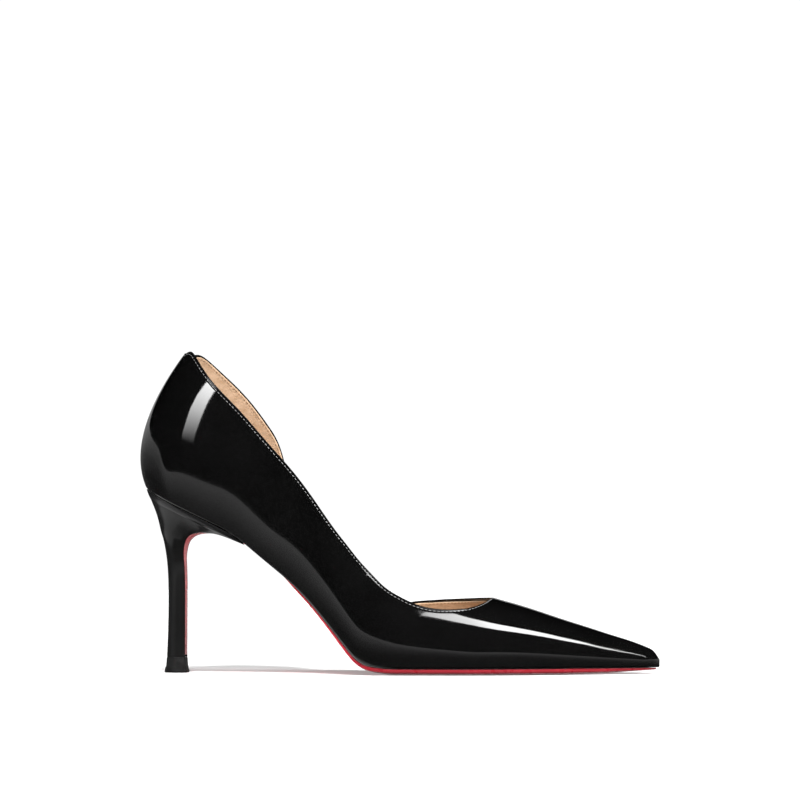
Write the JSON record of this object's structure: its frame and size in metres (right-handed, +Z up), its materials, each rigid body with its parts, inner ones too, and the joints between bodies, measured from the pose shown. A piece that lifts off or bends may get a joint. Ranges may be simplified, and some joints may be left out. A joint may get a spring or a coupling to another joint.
{
  "type": "dorsay pump",
  "caption": "Pointed high-heeled court shoe, its inner side cut away at the waist, with a patent upper, a covered slim heel and a thin leather sole.",
  "frame": {"origin": "on the floor under the middle of the shoe's box", "axes": "+X from the heel to the toe, +Y to the inner side of the foot, +Z up from the floor"},
  "size_m": [0.2401, 0.0783, 0.1481],
  "materials": {
    "patent_leather": "high gloss patent",
    "lining_leather": "satin, fine grain",
    "red_sole": "semi gloss lacquer",
    "heel_cover": "high gloss patent",
    "tip_rubber": "satin"
  },
  "bodies": {
    "root": {"upper": "patent_leather", "insole": "lining_leather", "outsole": "red_sole", "heel": "heel_cover", "heel_tip": "tip_rubber"}
  },
  "joints": []
}
